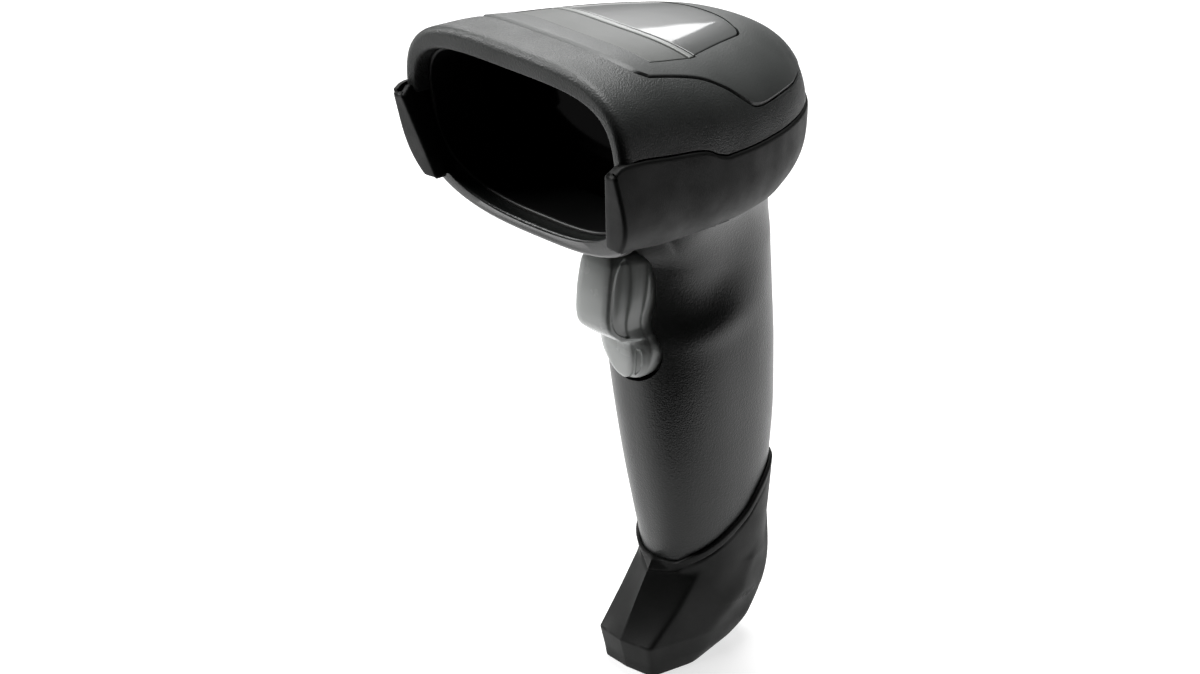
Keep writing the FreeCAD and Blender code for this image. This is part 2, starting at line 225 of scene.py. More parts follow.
def loopSolid(rows, closed=True):
    # rows run round the piece's own section; columns run along it
    rows = np.asarray(rows)
    count, columns = rows.shape[:2]
    faces = gridFaces(count, columns, True, closed)
    if not closed:
        faces.append([r * columns for r in range(count)])
        faces.append([r * columns + columns - 1 for r in reversed(range(count))])
    return rows.reshape(-1, 3), faces


def prismFaces(count):
    # the walls between two rings, and both ends
    ends = [list(range(count)), list(range(2 * count - 1, count - 1, -1))]
    return gridFaces(2, count, False, True) + ends


def slabSolid(outer, inner):
    # a thin plate between two grids with the same rows and columns
    rows, columns = outer.shape[:2]
    shift = rows * columns
    faces = gridFaces(rows, columns, False, False) + gridFaces(rows, columns, False, False, shift, True)
    for r in range(rows - 1):
        for c in (0, columns - 1):
            a, b = r * columns + c, (r + 1) * columns + c
            faces.append((a, b, b + shift, a + shift) if c == 0 else (b, a, a + shift, b + shift))
    for c in range(columns - 1):
        for r in (0, rows - 1):
            a, b = r * columns + c, r * columns + c + 1
            faces.append((b, a, a + shift, b + shift) if r == 0 else (a, b, b + shift, a + shift))
    return np.concatenate([outer.reshape(-1, 3), inner.reshape(-1, 3)]), faces


def cutAway(piece, cutter):
    # boolean difference, applied, and the cutter is deleted
    change = piece.modifiers.new("cut", "BOOLEAN")
    change.operation = "DIFFERENCE"
    change.solver = "EXACT"
    change.object = cutter
    bpy.context.view_layer.update()
    graph = bpy.context.evaluated_depsgraph_get()
    cut = bpy.data.meshes.new_from_object(piece.evaluated_get(graph))
    piece.modifiers.clear()
    old = piece.data
    piece.data = cut
    cut.name = piece.name
    bpy.data.meshes.remove(old)
    bpy.data.objects.remove(cutter, do_unlink=True)
    cut.shade_smooth()
    cut.set_sharp_from_angle(angle=math.radians(plainSharpDeg))


def makeCutter(vertices, faces):
    return makePiece("cutter", vertices, faces, None, None)


def boxCutter(x0, x1, y0, y1, z0, z1):
    corners = [(x, y, z) for z in (z0, z1) for x, y in ((x0, y0), (x1, y0), (x1, y1), (x0, y1))]
    faces = [(0, 1, 2, 3), (4, 7, 6, 5), (0, 4, 5, 1), (1, 5, 6, 2), (2, 6, 7, 3), (3, 7, 4, 0)]
    return makeCutter(corners, faces)


# materials

def colour(code):
    channels = [int(code[i:i + 2], 16) / 255 for i in (1, 3, 5)]
    linear = [c / 12.92 if c <= 0.04045 else ((c + 0.055) / 1.055) ** 2.4 for c in channels]
    return (*linear, 1)


def addNode(tree, kind, settings=None, **links):
    node = tree.nodes.new(kind)
    for key, value in (settings or {}).items():
        if key in node.inputs:
            node.inputs[key].default_value = value
        else:
            setattr(node, key, value)
    for key, source in links.items():
        socket = node.inputs[int(key[1:])] if key[0] == "i" and key[1:].isdigit() else node.inputs[key]
        tree.links.new(source, socket)
    return node


def surface(name, look):
    # One recipe for moulded plastics and rubbers. base and worn are the colours of the hollows and
    # of the rubbed tops, grainMm the texture pitch, depthMm its height, patchMm the size of handling marks.
    material = bpy.data.materials.new(name)
    material.use_nodes = True
    tree = material.node_tree
    shader = tree.nodes["Principled BSDF"]
    place = addNode(tree, "ShaderNodeTexCoord").outputs["Object"]
    grain = addNode(tree, "ShaderNodeTexVoronoi",
                    {"Scale": 1000 / look["grainMm"], "feature": "F1"}, Vector=place)
    fine = addNode(tree, "ShaderNodeTexNoise", {"Scale": 1400 / look["grainMm"], "Detail": 3.0}, Vector=place)
    patch = addNode(tree, "ShaderNodeTexNoise", {"Scale": 1000 / look["patchMm"], "Detail": 4.0}, Vector=place)
    height = addNode(tree, "ShaderNodeMath", {"operation": "ADD"},
                     i0=grain.outputs["Distance"], i1=fine.outputs["Fac"])
    bump = addNode(tree, "ShaderNodeBump",
                   {"Strength": look.get("bump", 0.4), "Distance": look["depthMm"] / 1000},
                   Height=height.outputs[0])
    tree.links.new(bump.outputs[0], shader.inputs["Normal"])
    # a colour mix keeps its two colours in sockets 6 and 7 and gives the result at 2
    tint = addNode(tree, "ShaderNodeMix", {"data_type": "RGBA"}, i0=patch.outputs["Fac"])
    tint.inputs[6].default_value = colour(look["base"])
    tint.inputs[7].default_value = colour(look["worn"])
    tree.links.new(tint.outputs[2], shader.inputs["Base Color"])
    low, high = look["roughness"]
    rough = addNode(tree, "ShaderNodeMapRange",
                    {"From Min": 0.3, "From Max": 0.7, "To Min": low, "To Max": high},
                    Value=patch.outputs["Fac"])
    tree.links.new(rough.outputs[0], shader.inputs["Roughness"])
    shader.inputs["IOR"].default_value = look.get("ior", 1.5)
    shader.inputs["Specular IOR Level"].default_value = look.get("specular", 0.5)
    shader.inputs["Metallic"].default_value = look.get("metallic", 0.0)
    shader.inputs["Coat Weight"].default_value = look.get("coat", 0.0)
    shader.inputs["Coat Roughness"].default_value = look.get("coatRoughness", 0.1)
    shader.inputs["Sheen Weight"].default_value = look.get("sheen", 0.0)
    shader.inputs["Transmission Weight"].default_value = look.get("clear", 0.0)
    return material


# The real grain of moulded plastic and rubber is 0.05 to 0.2 mm wide, too fine to show: it is drawn
# two to four times as coarse.
finishes = {
    # colour in the hollows, on rubbed tops, grain width, its height, size of handling marks (mm), roughness
    # spark-eroded ABS: a dry, even grain that breaks up highlights
    "sparkMouldedAbs": ("#2b2d2c", "#323433", 0.4, 0.08, 9, (0.44, 0.54), {"bump": 0.9}),
    # fine satin ABS of cover and grip: softer highlight, barely visible grain
    "satinMouldedAbs": ("#1a1c1b", "#202221", 0.45, 0.06, 12, (0.3, 0.37), {"bump": 0.7, "specular": 0.38}),
    # the same satin on the saddle, its colour painted lighter to stand in for the top light it catches, and dryer
    # so that it holds a broad soft light
    "toplitPaintedCoverAbs": ("#3a3c3b", "#414342", 0.4, 0.05, 12, (0.46, 0.54), {"bump": 0.6}),
    # smooth satin plate
    "satinPlate": ("#3e403e", "#454745", 0.3, 0.02, 10, (0.46, 0.52), {"bump": 0.4}),
    # hard coated acrylic: clear gloss over smoke
    "smokedAcrylic": ("#3a3c3b", "#404241", 0.6, 0.003, 14, (0.34, 0.4),
                      {"bump": 0.1, "coat": 0.5, "coatRoughness": 0.06, "ior": 1.49}),
    # diffusing acrylic strip: a pale line that stays even along its length
    "lightPipe": ("#6a6c6a", "#747674", 0.5, 0.004, 6, (0.3, 0.4), {"bump": 0.1, "ior": 1.49}),
    # polished ABS of the trigger: a smooth grey gloss with faint finger polish
    "polishedAbs": ("#a9acaa", "#b2b5b3", 0.8, 0.004, 7, (0.2, 0.3), {"bump": 0.12}),
    # moulded thermoplastic rubber: matte, slightly dusty on its rubbed places
    "mouldedRubber": ("#0d0e0d", "#131413", 0.28, 0.04, 6, (0.5, 0.62), {"bump": 0.5, "specular": 0.25}),
    # the same rubber on the boot, a little darker and duller where it's handled
    "bootRubber": ("#0b0c0b", "#111211", 0.28, 0.03, 8, (0.52, 0.64), {"bump": 0.5, "specular": 0.22}),
    # black matte funnel that swallows stray light
    "mattFunnelAbs": ("#060606", "#080808", 0.3, 0.03, 8, (0.6, 0.7), {"bump": 0.4, "specular": 0.12}),
    # extruded rubber bead: a thin soft highlight round the window
    "gasketRubber": ("#1c1d1c", "#232423", 0.3, 0.02, 5, (0.4, 0.5), {"bump": 0.3}),
    # dark red-black filter glass, polished
    "filterGlass": ("#020101", "#030202", 1.0, 0.002, 20, (0.05, 0.09),
                    {"bump": 0.05, "ior": 1.3, "specular": 0.02}),
    # moulded nylon frames inside: plain satin black
    "blackNylon": ("#111211", "#181918", 0.4, 0.02, 6, (0.45, 0.55), {}),
    # moulded nylon plunger: milky and slightly uneven
    "whiteNylon": ("#d8d6cf", "#cfccc3", 0.4, 0.01, 4, (0.4, 0.5), {}),
    # ground steel pin, spring and screws: bright with a fine broken reflection
    "groundSteel": ("#a9a9a7", "#bdbdba", 0.2, 0.01, 3, (0.22, 0.34), {"metallic": 1.0}),
    # tinned pressings: greyer and softer than the steel
    "tinPlate": ("#b9b9b4", "#c8c8c3", 0.5, 0.01, 5, (0.25, 0.4), {"metallic": 1.0}),
    # plated contacts: warm and smooth
    "goldPlate": ("#c99a3f", "#d8ad55", 0.3, 0.004, 2, (0.2, 0.3), {"metallic": 1.0}),
    # lacquered board: deep green under a thin clear coat
    "solderMask": ("#0d3a20", "#124527", 0.9, 0.01, 5, (0.28, 0.4), {"coat": 0.3}),
    # moulded epoxy chip bodies: dull charcoal
    "epoxyChip": ("#141414", "#1b1b1b", 0.2, 0.01, 2, (0.5, 0.6), {}),
    # polyimide flex: amber, smooth, slightly glossy
    "polyimideFilm": ("#8a4b14", "#9a5a1d", 0.6, 0.004, 4, (0.25, 0.35), {}),
    # anodised aluminium lens barrel: dark metal with a satin sheen
    "blackAnodised": ("#161617", "#1f1f20", 0.15, 0.008, 3, (0.32, 0.42), {"metallic": 1.0}),
    # coated glass: clear with a faint violet tint
    "coatedLens": ("#b9b4d6", "#b3b9dc", 2.0, 0.001, 6, (0.02, 0.05), {"clear": 0.9, "ior": 1.52}),
    # cast epoxy lamp bodies: cloudy and half clear
    "clearEpoxy": ("#d9d7c9", "#cfcdbf", 1.0, 0.003, 3, (0.08, 0.15), {"clear": 0.5, "ior": 1.5}),
}
finishOrder = ("base", "worn", "grainMm", "depthMm", "patchMm", "roughness")
made = {name: surface(name, {**dict(zip(finishOrder, row)), **row[-1]}) for name, row in finishes.items()}

slotFinish = {
    "dark_abs": "sparkMouldedAbs", "satin_abs": "satinMouldedAbs", "plate_grey": "satinPlate",
    "lens_gloss": "smokedAcrylic", "light_pipe": "lightPipe", "bumper_rubber": "mouldedRubber",
    "tinted_pane": "filterGlass", "trigger_grey": "polishedAbs", "steel": "groundSteel",
    "black_nylon": "blackNylon", "white_nylon": "whiteNylon", "circuit_board": "solderMask",
    "chip_epoxy": "epoxyChip", "tinplate": "tinPlate", "polyimide": "polyimideFilm",
    "anodised_black": "blackAnodised", "lens_glass": "coatedLens", "lamp_epoxy": "clearEpoxy",
    "gold_contact": "goldPlate", "boot_rubber": "bootRubber",
}
for part in frame["record"]["subparts"]:
    node = frame["nodes"][part["node"]]
    node.data.materials.clear()
    node.data.materials.append(made[slotFinish[part["material_slot"]]])
print("materials made")

# rim of the scan opening

rim = {
    "centreZ": 141.0, "topY": 1.0, "slope": 0.069, "curve": 0.0039,
    "innerHalfWidth": 29.3, "innerMiddleZ": 139.5, "innerUp": 18.3, "innerDown": 18.5,
    "upperSquareness": 4.2, "lowerSquareness": 2.7, "behind": 2.4,
    # how the face rolls over to the skin and into the opening: depth behind the face, pull to the middle
    "outerRound": [(1.7, 0.04), (1.1, 0.2), (0.6, 0.5), (0.25, 0.95), (0.06, 1.4), (0.0, 1.9)],
    "innerRound": [(0.0, -0.75), (0.06, -0.4), (0.22, -0.15), (0.5, 0.0), (1.2, 0.05), (2.6, 0.12), (4.4, 0.25),
                   (6.5, 0.4)],
    "topZ": 163,
}


def frontY(z):
    drop = rim["topZ"] - z
    return rim["topY"] + rim["slope"] * drop + rim["curve"] * drop**2


def rimOuter(angle, behind):
    # on the head's skin, a set distance behind the opening's leaning face
    low, high = np.zeros_like(angle), np.full_like(angle, 45.0)
    for _ in range(32):
        middle = (low + high) / 2
        x, z = middle * np.cos(angle), rim["centreZ"] + middle * np.sin(angle)
        outside = headField(np.stack([x, frontY(z) + behind, z], axis=-1)) > 0
        high, low = np.where(outside, middle, high), np.where(outside, low, middle)
    z = rim["centreZ"] + high * np.sin(angle)
    return np.stack([high * np.cos(angle), frontY(z) + behind, z], axis=-1)


def rimInner(angle):
    c, s = np.cos(angle), np.sin(angle)
    n = np.where(s > 0, rim["upperSquareness"], rim["lowerSquareness"])
    up = np.where(s > 0, rim["innerUp"], rim["innerDown"])
    size = ((np.abs(c) / rim["innerHalfWidth"]) ** n + (np.abs(s) / up) ** n) ** (-1 / n)
    z = rim["innerMiddleZ"] + size * s
    return np.stack([size * c, frontY(z), z], axis=-1)


def rimProfile(angle):
    # rows from the skin round the front face to the inner wall
    inner = rimInner(angle)
    rows = [rimOuter(angle, rim["behind"])]
    inward = inner - rimOuter(angle, 0.0)
    inward[:, 1] = 0
    inward = unit(inward)
    for back, pull in rim["outerRound"]:
        rows.append(rimOuter(angle, back) + inward * pull)
    for back, pull in rim["innerRound"]:
        rows.append(inner + inward * pull + backward * back)
    return np.array(rows)


# hood, saddle and top inlays

saddle = {
    # right hand edge from the brow's corner round the lobe to the tail
    "front": [(0, 13.2, 163), (8, 13.3, 163), (17, 13.9, 163), (23, 15.4, 161.8), (25.6, 18.2, 160.5)],
    "side": [(25.6, 18.2, 160.5), (26.6, 25, 159.5), (27.6, 32, 157.6), (29.2, 38, 154.4), (30.6, 43, 150.6),
             (31.0, 46.2, 148.6), (30.2, 50, 147.8), (27.0, 59, 147.5), (22.6, 67.5, 146.9), (15, 75, 146.5),
             (7, 79.6, 146.3), (0, 80.9, 146.2)],
    "gap": 0.3, "thickness": 1.7, "edge": 0.55, "proud": 0.22, "width": 50.0, "middle": (0, 45, 150),
}
hood = {"frontCount": 60, "sideCount": 100, "cornerX": 32.6, "cornerZ": 146.0, "edge": 0.3, "wall": 2.0}
parting = {"angle": [0.0, 0.667, 0.866, 1.094, 1.214, 1.30, 1.82, 2.34, 3.15],
           "z": [146.2, 146.1, 144.7, 143.2, 141.1, 140.3, 140.0, 139.8, 139.6], "gap": 0.25}
partingZ = through(parting["angle"], parting["z"])


def saddleEdge(frontCount, sideCount, grow):
    # right half from the middle of the brow to the middle of the tail, landed on the skin
    front = alongPath(saddle["front"], frontCount)
    side = alongPath(saddle["side"], sideCount)
    edge = np.concatenate([front, side[1:]])
    if grow:
        tangent = unit(np.gradient(edge, axis=0))
        out = np.cross(tangent, headNormal(landOnHead(edge)))
        out *= np.sign(np.sum(out * (edge - np.array(saddle["middle"])), axis=1))[:, None]
        edge = edge + out * grow
    return landOnHead(edge)


def hoodShell():
    frontCount, sideCount = hood["frontCount"], hood["sideCount"]
    inner = saddleEdge(frontCount, sideCount, saddle["gap"])
    corner = math.atan2(hood["cornerZ"] - rim["centreZ"], hood["cornerX"])
    rimAngles = np.linspace(math.pi / 2, corner, frontCount)
    profile = rimProfile(rimAngles)
    earTop = rimOuter(np.array([corner]), rim["behind"])[0]
    startAngle = math.atan2(earTop[0], headShape["planY"] - earTop[1])
    plan = np.linspace(startAngle, math.pi, sideCount)
    level = landLevel(plan, partingZ(plan) + parting["gap"] / 2)
    outer = np.concatenate([profile[0], level[1:]])
    share = edgeStops(9.0, 26, 0.5)[:, None, None]
    skin = landOnHead(inner[None] * (1 - share) + outer[None] * share)
    normal = headNormal(skin)
    distance = gapsAlong(skin, 0)
    columns = np.arange(skin.shape[1])
    rowsHalf = skin.shape[0] // 2
    drop = roundedDrop(distance, hood["edge"])
    drop[rowsHalf:, columns < frontCount] = 0        # the skin runs on into the rim there
    skinOut = skin - normal * drop[..., None]
    under = skin - normal * hood["wall"]
    edgeRows = []
    for k in range(1, len(profile)):
        row = outer - headNormal(outer) * (0.3 + 1.6 * k / len(profile))     # from the edge down to the wall
        row[:frontCount] = profile[k]
        edgeRows.append(row)
    rows = np.concatenate([skinOut, np.array(edgeRows), under[::-1][::3], under[:1]])
    rows = np.concatenate([rows, rows[:, 1:-1][:, ::-1] * mirrorX], axis=1)
    vertices, faces = loopSolid(rows)
    return makePiece("hoodShell", vertices, faces, made["sparkMouldedAbs"], "scanner",
                     ["hood_shell"])


# the plates let into the saddle: y of the edges at their ends, how far the middle bows forward
plateGap, plateThickness, plateEdge = 0.42, 1.4, 0.25
plates = {
    "namePlate": {"front": 23.0, "back": 34.3, "frontHalf": 20.1, "backHalf": 20.5, "bow": 1.9, "backBow": 1.9,
                  "finish": "satinPlate", "slot": "plate_grey", "node": "name_plate", "sink": 0.12},
    "lightBar": {"front": 34.85, "back": 36.5, "frontHalf": 20.5, "backHalf": 20.2, "bow": 1.9, "backBow": 1.9,
                 "finish": "lightPipe", "slot": "light_pipe", "node": "light_bar", "sink": 0.0},
    "lensPanel": {"front": 37.05, "back": 59.5, "frontHalf": 19.8, "backHalf": 13.2, "bow": 1.9, "backBow": -2.6,
                  "finish": "smokedAcrylic", "slot": "lens_gloss", "node": "lens_panel", "sink": 0.1,
                  "corner": 3.2},
}


def skinTop(x, y):
    middle, up, _, n = headSection(y)
    return middle + up * (1 - (np.abs(x) / halfWidthAt(y)) ** n) ** (1 / n)


def plateGrid(plate, grow):
    deep = edgeStops(plate["back"] - plate["front"], 24, 0.5)[:, None]
    across = (1 - 2 * edgeStops(2 * plate["frontHalf"], 40, 0.5))[None]
    front, back = plate["front"] - grow, plate["back"] + grow
    half = (plate["frontHalf"] + grow) * (1 - deep) + (plate["backHalf"] + grow) * deep
    corner = plate.get("corner", 0)
    if corner:
        turn = np.clip(1 - (1 - deep) * (plate["back"] - plate["front"]) / corner, 0, 1)
        half = half - corner * (1 - np.sqrt(1 - turn**2))
    bow = plate["bow"] * (1 - deep) + plate["backBow"] * deep
    x = half * across
    y = front + (back - front) * deep - bow * (1 - across**2)
    return np.stack([x, y, skinTop(x, y)], axis=-1)


def saddleCover():
    frontCount = 30
    edge = saddleEdge(frontCount, 110, 0)
    front, side = edge[:frontCount], edge[frontCount - 1:]
    across = 1 - 2 * edgeStops(saddle["width"], 64, 0.5)
    grid = np.repeat(side[None], len(across), axis=0)
    grid[..., 0] *= across[:, None]
    bow = through(front[:, 0] / side[0, 0], front[:, 1] - side[0, 1])(np.abs(across))
    fade = np.exp(-np.linspace(0, 7, len(side)))
    grid[..., 1] += bow[:, None] * fade[None]
    grid[..., 2] += (topAt(grid[..., 1]) - grid[..., 2]) * np.sqrt(1 - across**2)[:, None]
    skin = landOnHead(grid)
    normal = headNormal(skin)
    fromFront = np.cumsum(np.linalg.norm(np.diff(skin, axis=1, prepend=skin[:, :1]), axis=-1), axis=1)
    distance = np.minimum(gapsAlong(skin, 0), fromFront)
    outer = skin - normal * (roundedDrop(distance, saddle["edge"]) - saddle["proud"])[..., None]
    inner = skin - normal * saddle["thickness"]
    vertices, faces = slabSolid(outer, inner)
    # the saddle's material is the grip's satin with painted top light in its colour
    piece = makePiece("saddleCover", vertices, faces, made["toplitPaintedCoverAbs"], "scanner",
                      ["saddle_cover"])
    for plate in plates.values():
        loop = plateGrid(plate, plateGap)
        ring = np.concatenate([loop[0], loop[1:, -1], loop[-1, ::-1][1:], loop[::-1, 0][1:-1]])
        low, high = ring.copy(), ring.copy()
        low[:, 2], high[:, 2] = 145, 172       # well below and above the skin
        cutAway(piece, makeCutter(np.concatenate([low, high]), prismFaces(len(ring))))
    return piece


def topPlate(name, plate):
    skin = plateGrid(plate, 0)
    normal = headNormal(skin)
    distance = np.minimum(gapsAlong(skin, 0), gapsAlong(skin, 1))
    outer = skin - normal * (roundedDrop(distance, plateEdge) + plate["sink"] - saddle["proud"])[..., None]
    inner = skin - normal * plateThickness
    vertices, faces = slabSolid(outer, inner)
    return makePiece(name, vertices, faces, made[plate["finish"]], "scanner", [plate["node"]])


# rubber bumper with its two ears

bumper = {
    "earTopZ": 143.7, "earLean": 0.338, "earTopY": 0.15, "innerTop": 29.9, "innerFoot": 25.4,
    "footZ": 124.4, "rise": 0.6, "riseEndY": 3.6, "proud": 0.45, "thickness": 1.2, "edge": 0.7,
    "corner": 0.9, "softCorner": 0.6, "innerFootZ": 125, "innerHigh": 18.6, "flangeDeep": (6.0, 4.5, 3.0, 1.8, 1.0),
    # the side run: where it starts in plan, its straight half width, and the angles where it turns
    "startX": 32.7, "startY": 43.0, "sideX": 32.8, "sideAngle": 1.2, "rearAngle": 1.6, "easeAngle": 0.12,
    "startBack": 2.0,
    "bottomAngle": [0.0, 0.70, 0.85, 1.2, 1.9, 2.6, 3.15],
    "bottomZ": [124.4, 124.2, 123.0, 123.0, 123.6, 124.6, 125.2],
}
bumperBottom = through(bumper["bottomAngle"], bumper["bottomZ"])


def sideX(y, z):
    # half width of the skin at y and z
    middle, up, down, upper = headSection(y)
    above = z > middle
    n = np.where(above, upper, headShape["bellySquareness"])
    reach = np.where(above, up, down)
    return halfWidthAt(y) * (1 - np.minimum(np.abs(z - middle) / reach, 0.999) ** n) ** (1 / n)


def gridNormal(grid):
    along = np.gradient(grid, axis=1)
    across = np.gradient(grid, axis=0)
    normal = np.cross(along, across)
    return normal / np.maximum(np.linalg.norm(normal, axis=-1, keepdims=True), 1e-9)


def headBumper():
    share = edgeStops(20.0, 30, 1.2)
    columns = []

    def earColumn(back, place):
        # one upright line of the ear: place gives its x, its y and how far it follows the outer side
        top = bumper["earTopZ"] + min(back, bumper["riseEndY"]) * bumper["rise"]
        z = bumper["footZ"] + (top - bumper["footZ"]) * share
        earY = bumper["earTopY"] + (bumper["earTopZ"] - z) * bumper["earLean"]
        widening = bumper["innerTop"] - bumper["innerFoot"]
        inner = bumper["innerFoot"] + widening * (z - bumper["innerFootZ"]) / bumper["innerHigh"]
        skin = np.stack([sideX(earY + bumper["corner"], z), earY + bumper["corner"], z], axis=1)
        skin = skin + headNormal(skin) * bumper["proud"]
        x, y, outward = place(inner, skin[:, 0], earY)
        columns.append(np.stack([x, y, z + (skin[:, 2] - z) * outward], axis=1))

    soft, corner = bumper["softCorner"], bumper["corner"]
    for back in bumper["flangeDeep"]:
        earColumn(back, lambda inner, outer, earY: (inner, earY + back, 0))
    for turn in np.linspace(0, math.pi / 2, 5):
        c, d = soft * (1 - math.cos(turn)), soft * (1 - math.sin(turn))
        earColumn(soft, lambda inner, outer, earY: (inner + c, earY + d, 0))
    for part in (0.25, 0.5, 0.75):
        earColumn(0, lambda inner, outer, earY: ((inner + soft) * (1 - part) + (outer - corner) * part,
                                                 earY, part / 2))
    for turn in np.linspace(0, math.pi / 2, 6):
        c, d = corner * (1 - math.sin(turn)), corner * (1 - math.cos(turn))
        earColumn(0.4, lambda inner, outer, earY: (outer - c, earY + d, 0.5 + turn / math.pi))
    startAngle, rearAngle = math.atan2(bumper["startX"], bumper["startY"]), bumper["rearAngle"]
    sideAngles, rearAngles = np.linspace(startAngle, rearAngle, 60), np.linspace(rearAngle, math.pi, 70)
    for angle in np.concatenate([sideAngles, rearAngles[1:]]):
        y = headShape["planY"]
        if angle < bumper["sideAngle"]:
            y = y - bumper["sideX"] / math.tan(angle)
        earRise = bumper["earTopZ"] + max(y, 0.4) * bumper["rise"]
        top = min(float(partingZ(angle)) - parting["gap"] / 2, earRise)
        low = float(bumperBottom(angle))
        z = low + (top - low) * share
        ease = 1 - np.clip((angle - startAngle) / bumper["easeAngle"], 0, 1)
        point = landLevel(np.full_like(z, angle), z)
        if ease > 0:
            earY = bumper["earTopY"] + (bumper["earTopZ"] - z) * bumper["earLean"] + corner
            planY = (y - bumper["startBack"] + earY) * ease + point[:, 1] * (1 - ease)
            point = np.stack([sideX(planY, z), planY, z], axis=1)
        columns.append(point + headNormal(point) * bumper["proud"])
    half = np.stack(columns, axis=1)
    grid = np.concatenate([half, half[:, :-1][:, ::-1] * mirrorX], axis=1)
    normal = gridNormal(grid)
    normal *= np.sign(np.median(np.sum(normal * (grid - np.array([0, 45, 134])), axis=-1)))
    outer = grid - normal * roundedDrop(gapsAlong(grid, 0), bumper["edge"])[..., None]
    inner = grid - normal * bumper["thickness"]
    vertices, faces = slabSolid(outer, inner)
    return makePiece("headBumper", vertices, faces, made["mouldedRubber"], "scanner",
                     ["head_bumper"], 50)


# grip housing: grip, neck, belly and chin lip in one moulding

grip = {
    "z": [16, 36, 56, 76, 96, 108, 122],
    "front": [60.0, 53.6, 47.8, 43.4, 40.2, 37.4, 30.0],
    "back": [85.6, 87.0, 87.4, 85.4, 81.8, 79.6, 79.0],
    "halfWidth": [10.8, 12.3, 13.6, 15.0, 16.2, 17.4, 22.0],
    "squareness": 2.3, "neckZ": 105.0, "wall": 2.2, "bellyZ": 123.2,
    # the finger hollow on each side, and the swell below it
    "reliefZ": 99.0, "reliefHigh": 8.0, "reliefDeep": 1.8, "shoulderZ": 88.5, "shoulderOut": 0.8,
    "reliefAngle": 1.15, "reliefSpread": 0.55, "shoulderHigh": 4.0,
    # the belly: gap to the bumper, highest level, and how strongly it bulges as it leaves neck and rim
    "seamGap": 0.15, "bellyTopZ": 125, "neckPull": 1.1, "edgePull": 0.9, "lipRows": 6, "lipUp": 1.6,
    # the slits under the head: start and end behind the ears' front, width in x, height at y 0
    "slits": [(43.6, 46.4), (47.2, 50.6)], "slitX": (14.0, 21.0), "slitZ": (116.9, 117.9), "slitRise": 0.02,
    "triggerGap": 1.0,
}
gripFront = through(grip["z"], grip["front"])
gripBack = through(grip["z"], grip["back"])
gripHalf = through(grip["z"], grip["halfWidth"])


def gripRing(angle, z, grow=0.0):
    # angle 0 looks forward and quarter turns to +x
    middle = (gripFront(z) + gripBack(z)) / 2
    deep, wide = (gripBack(z) - gripFront(z)) / 2 + grow, gripHalf(z) + grow
    n = grip["squareness"]
    size = ((np.abs(np.sin(angle)) / wide) ** n + (np.abs(np.cos(angle)) / deep) ** n) ** (-1 / n)
    return size, middle


def fingerRelief(angle, z):
    side = np.abs((angle + math.pi) % (2 * math.pi) - math.pi)
    around = np.exp(-((side - grip["reliefAngle"]) / grip["reliefSpread"]) ** 2)
    hollow = grip["reliefDeep"] * np.exp(-((z - grip["reliefZ"] - 4 * (side - 1)) / grip["reliefHigh"]) ** 2)
    below = (z - grip["shoulderZ"] - 3 * (side - 1)) / grip["shoulderHigh"]
    shoulder = grip["shoulderOut"] * np.exp(-below ** 2)
    return (shoulder - hollow) * around


def gripHousing():
    count = 288
    angle = np.arange(count) / count * 2 * math.pi
    rows = []
    for z in np.concatenate([[16], np.linspace(17, grip["neckZ"], 110)]):
        size, middle = gripRing(angle, z)
        size = size + fingerRelief(angle, z)
        rows.append(np.stack([size * np.sin(angle), middle - size * np.cos(angle), np.full(count, z)], axis=1))
    # the outer edge of the belly: chin lip in front, bumper's lower edge elsewhere
    low = np.linspace(-math.pi / 2, -0.2, 400)
    chin = rimOuter(low, rim["behind"])
    reached = chin[:, 2] < grip["bellyZ"] + 1.2
    planAngle = np.arctan2(chin[reached, 0], headShape["planY"] - chin[reached, 1])
    signed = (angle + math.pi) % (2 * math.pi) - math.pi
    inFront = np.abs(signed) < planAngle[-1]
    rimAngle = np.interp(np.abs(signed), planAngle, low[reached])
    rimAngle = np.where(signed < 0, -math.pi - rimAngle, rimAngle)
    level = landLevel(angle, np.minimum(bumperBottom(np.abs(signed)) - grip["seamGap"], grip["bellyTopZ"]))
    edge = np.where(inFront[:, None], rimOuter(rimAngle, rim["behind"]), level)
    base = rows[-1]
    lift = unit(base - rows[-3])
    outward = edge - np.array([0, 55, 0])
    outward[:, 2] = 3.0
    outward = unit(outward)
    reach = np.linalg.norm(edge - base, axis=1, keepdims=True)
    for t in edgeStops(18, 30, 0.5)[1:]:
        a, b, c, d = hermite(t)
        pulled = base * a + lift * b * reach * grip["neckPull"]
        rows.append(pulled + edge * c + outward * d * reach * grip["edgePull"])
    outer = np.array(rows)
    normal = gridNormal(outer)
    normal *= np.sign(np.median(np.sum(normal * (outer - np.array([0, 62, 100])), axis=-1)))
    under = outer - normal * grip["wall"]
    lip = slice(-grip["lipRows"], None)
    under[lip] = outer[lip] + np.array([0, 0, grip["lipUp"]]) - normal[lip] * 0.6
    profile = rimProfile(rimAngle)
    edgeRows = []
    for k in range(1, len(profile)):
        # behind the bumper the edge turns in towards the middle, then up
        share = k / len(profile)
        turnIn = (np.array([0, 48, 0]) - edge * np.array([1, 1, 0])) * 0.05 * min(1, 3 * share)
        turnUp = np.array([0, 0, 2.0 * max(0, share - 0.3)])
        step = edge * np.array([1 - 0.05 * share, 1, 1]) + turnIn + turnUp
        edgeRows.append(np.where(inFront[:, None], profile[k], step))
    loop = np.concatenate([outer, np.array(edgeRows), under[::-1][::2]])
    vertices, faces = loopSolid(loop)
    piece = makePiece("gripHousing", vertices, faces, made["satinMouldedAbs"], "scanner",
                      ["grip_housing"])
    cutAway(piece, triggerPlug(grip["triggerGap"]))
    for side in (-1, 1):
        for start, end in grip["slits"]:
            near, far = grip["slitX"]
            low, high = (z + start * grip["slitRise"] for z in grip["slitZ"])
            cutAway(piece, boxCutter(side * near, side * far, start, end, low, high))
    return piece


# trigger

